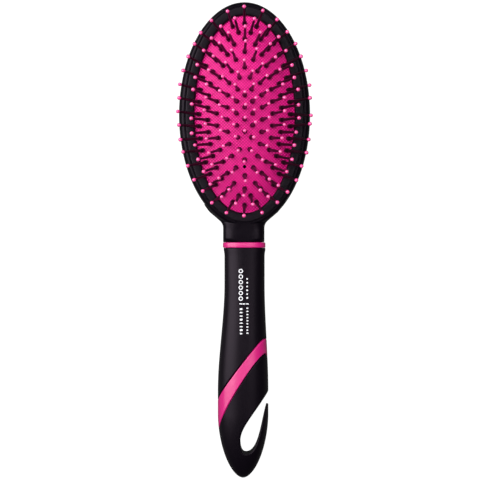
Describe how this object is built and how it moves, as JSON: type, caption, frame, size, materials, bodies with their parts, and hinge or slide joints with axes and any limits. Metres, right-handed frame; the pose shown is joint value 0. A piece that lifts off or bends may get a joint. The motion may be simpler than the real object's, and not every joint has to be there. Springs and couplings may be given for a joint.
{
  "type": "oval cushion brush",
  "caption": "Oval air-cushion brush with ball-tipped pins in concentric ovals, a slim neck with a collar, and a striped grip that ends in a hanging hook.",
  "frame": {"origin": "on the surface the brush lies on, below the middle of its length and width", "axes": "+Z is the way the pins point, +Y runs from the tail of the handle to the head, +X is to the right when looking down onto the pins with the head away from the viewer"},
  "size_m": [0.0668, 0.24, 0.0392],
  "materials": {
    "shell": "satin black",
    "frame": "satin black",
    "cushion": "woven face, matte magenta",
    "collar": "satin pink",
    "stripe": "satin pink",
    "grip": "soft-touch black",
    "pins": "black nylon",
    "print": "silver foil print",
    "pin_balls": "glossy pink drops"
  },
  "bodies": {
    "handle_and_head": {"head_shell": "shell", "cushion_frame": "frame", "cushion_pad": "cushion", "neck_ring": "collar", "handle_core": "stripe", "upper_grip": "grip", "tail_grip": "grip"},
    "edge_pins": {"row1_tip_pins": "pins", "row1_right_pins": "pins", "row1_neck_pins": "pins", "row1_left_pins": "pins"},
    "end_pins": {"row2_tip_pins": "pins", "row2_neck_pins": "pins"},
    "outer_pins": {"row2_right_pins": "pins", "row2_left_pins": "pins", "row3_tip_pins": "pins", "row3_neck_pins": "pins"},
    "middle_pins": {"row3_right_pins": "pins", "row3_left_pins": "pins", "row4_tip_pins": "pins", "row4_neck_pins": "pins"},
    "inner_pins": {"row4_right_pins": "pins", "row4_left_pins": "pins", "row5_tip_pins": "pins", "row5_neck_pins": "pins"},
    "centre_pins": {"row5_right_pins": "pins", "row5_left_pins": "pins", "row6_centre_pins": "pins"}
  },
  "joints": [
    {"name": "centre_press", "type": "slide", "parent": "handle_and_head", "child": "centre_pins", "axis": [0, 0, -1], "range_m": [0, 0.004], "stiffness_N_per_m": 500, "deforming": ["cushion_pad"]},
    {"name": "edge_press", "type": "slide", "parent": "handle_and_head", "child": "edge_pins", "axis": [0, 0, -1], "range_m": [0, 0.000804]},
    {"name": "end_press", "type": "slide", "parent": "handle_and_head", "child": "end_pins", "axis": [0, 0, -1], "range_m": [0, 0.00166]},
    {"name": "outer_press", "type": "slide", "parent": "handle_and_head", "child": "outer_pins", "axis": [0, 0, -1], "range_m": [0, 0.00222]},
    {"name": "middle_press", "type": "slide", "parent": "handle_and_head", "child": "middle_pins", "axis": [0, 0, -1], "range_m": [0, 0.00305]},
    {"name": "inner_press", "type": "slide", "parent": "handle_and_head", "child": "inner_pins", "axis": [0, 0, -1], "range_m": [0, 0.00367]}
  ],
  "couplings": [
    {"joint": "edge_press", "follows": "centre_press", "ratio": 0.196},
    {"joint": "end_press", "follows": "centre_press", "ratio": 0.411},
    {"joint": "outer_press", "follows": "centre_press", "ratio": 0.55},
    {"joint": "middle_press", "follows": "centre_press", "ratio": 0.758},
    {"joint": "inner_press", "follows": "centre_press", "ratio": 0.912}
  ]
}
